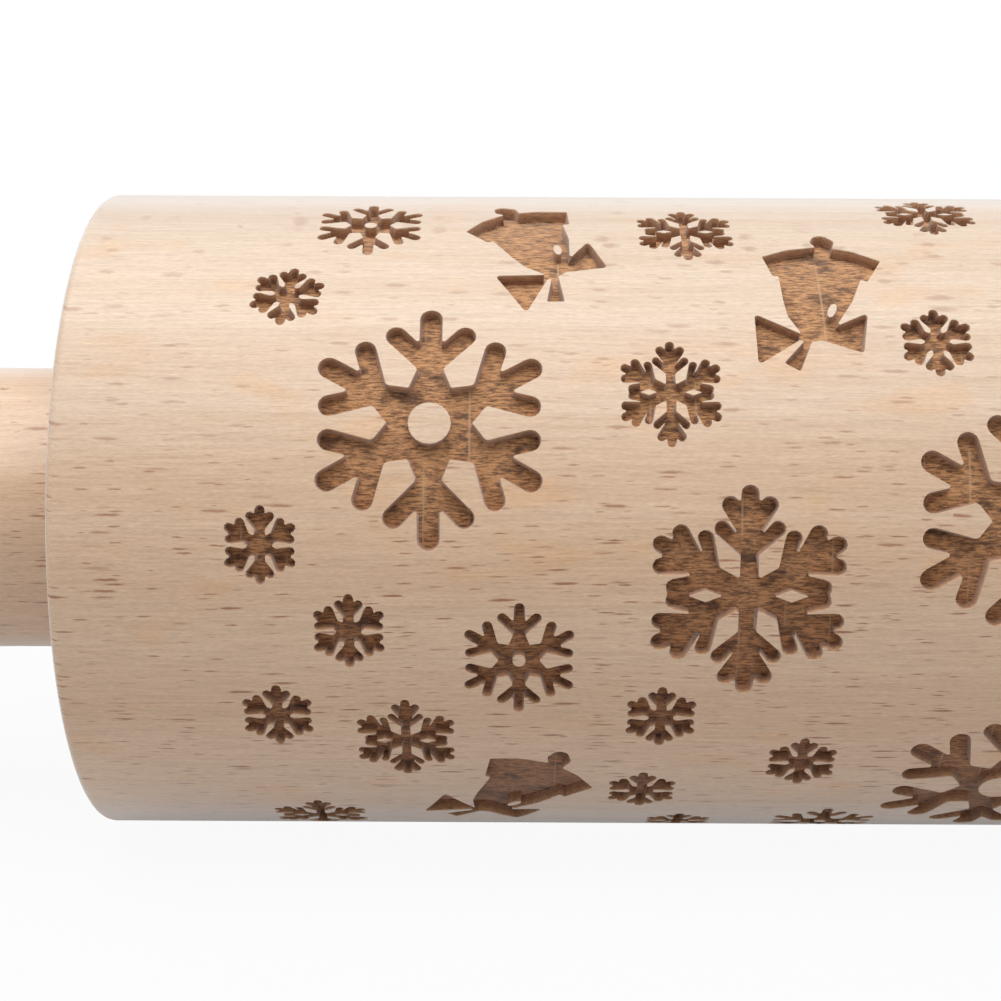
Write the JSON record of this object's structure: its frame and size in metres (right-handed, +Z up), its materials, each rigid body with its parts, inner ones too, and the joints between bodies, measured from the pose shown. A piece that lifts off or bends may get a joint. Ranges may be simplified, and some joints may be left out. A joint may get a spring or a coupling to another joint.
{
  "type": "embossed rolling pin",
  "caption": "Beech rolling pin with a winter pattern of flakes and bells cut into its barrel, which turns on a steel rod between two handles.",
  "frame": {"origin": "on the table under the middle of the barrel", "axes": "+X along the pin towards the right handle, +Z up; the pin's axis is 30 mm above the origin"},
  "size_m": [0.4352, 0.06, 0.06],
  "materials": {
    "engraved_beech": "fine turned, unvarnished, engraved floors scorched brown",
    "handle_beech": "fine turned, unvarnished",
    "plug_beech": "fine turned, unvarnished",
    "bush_plastic": "natural, moulded",
    "rod_steel": "drawn bar",
    "washer_steel": "bright zinc",
    "nut_steel": "bright zinc"
  },
  "bodies": {
    "rod_and_handles": {"axle_rod": "rod_steel", "left_end_plug": "plug_beech", "left_handle": "handle_beech", "left_nut": "nut_steel", "left_nut_washer": "washer_steel", "left_thrust_washer": "washer_steel", "right_end_plug": "plug_beech", "right_handle": "handle_beech", "right_nut": "nut_steel", "right_nut_washer": "washer_steel", "right_thrust_washer": "washer_steel"},
    "barrel": {"barrel": "engraved_beech", "left_bush": "bush_plastic", "right_bush": "bush_plastic"}
  },
  "joints": [
    {"name": "barrel_spin", "type": "hinge", "parent": "rod_and_handles", "child": "barrel", "pos_m": [0, 0, 0.03], "axis": [1, 0, 0], "continuous": true}
  ]
}
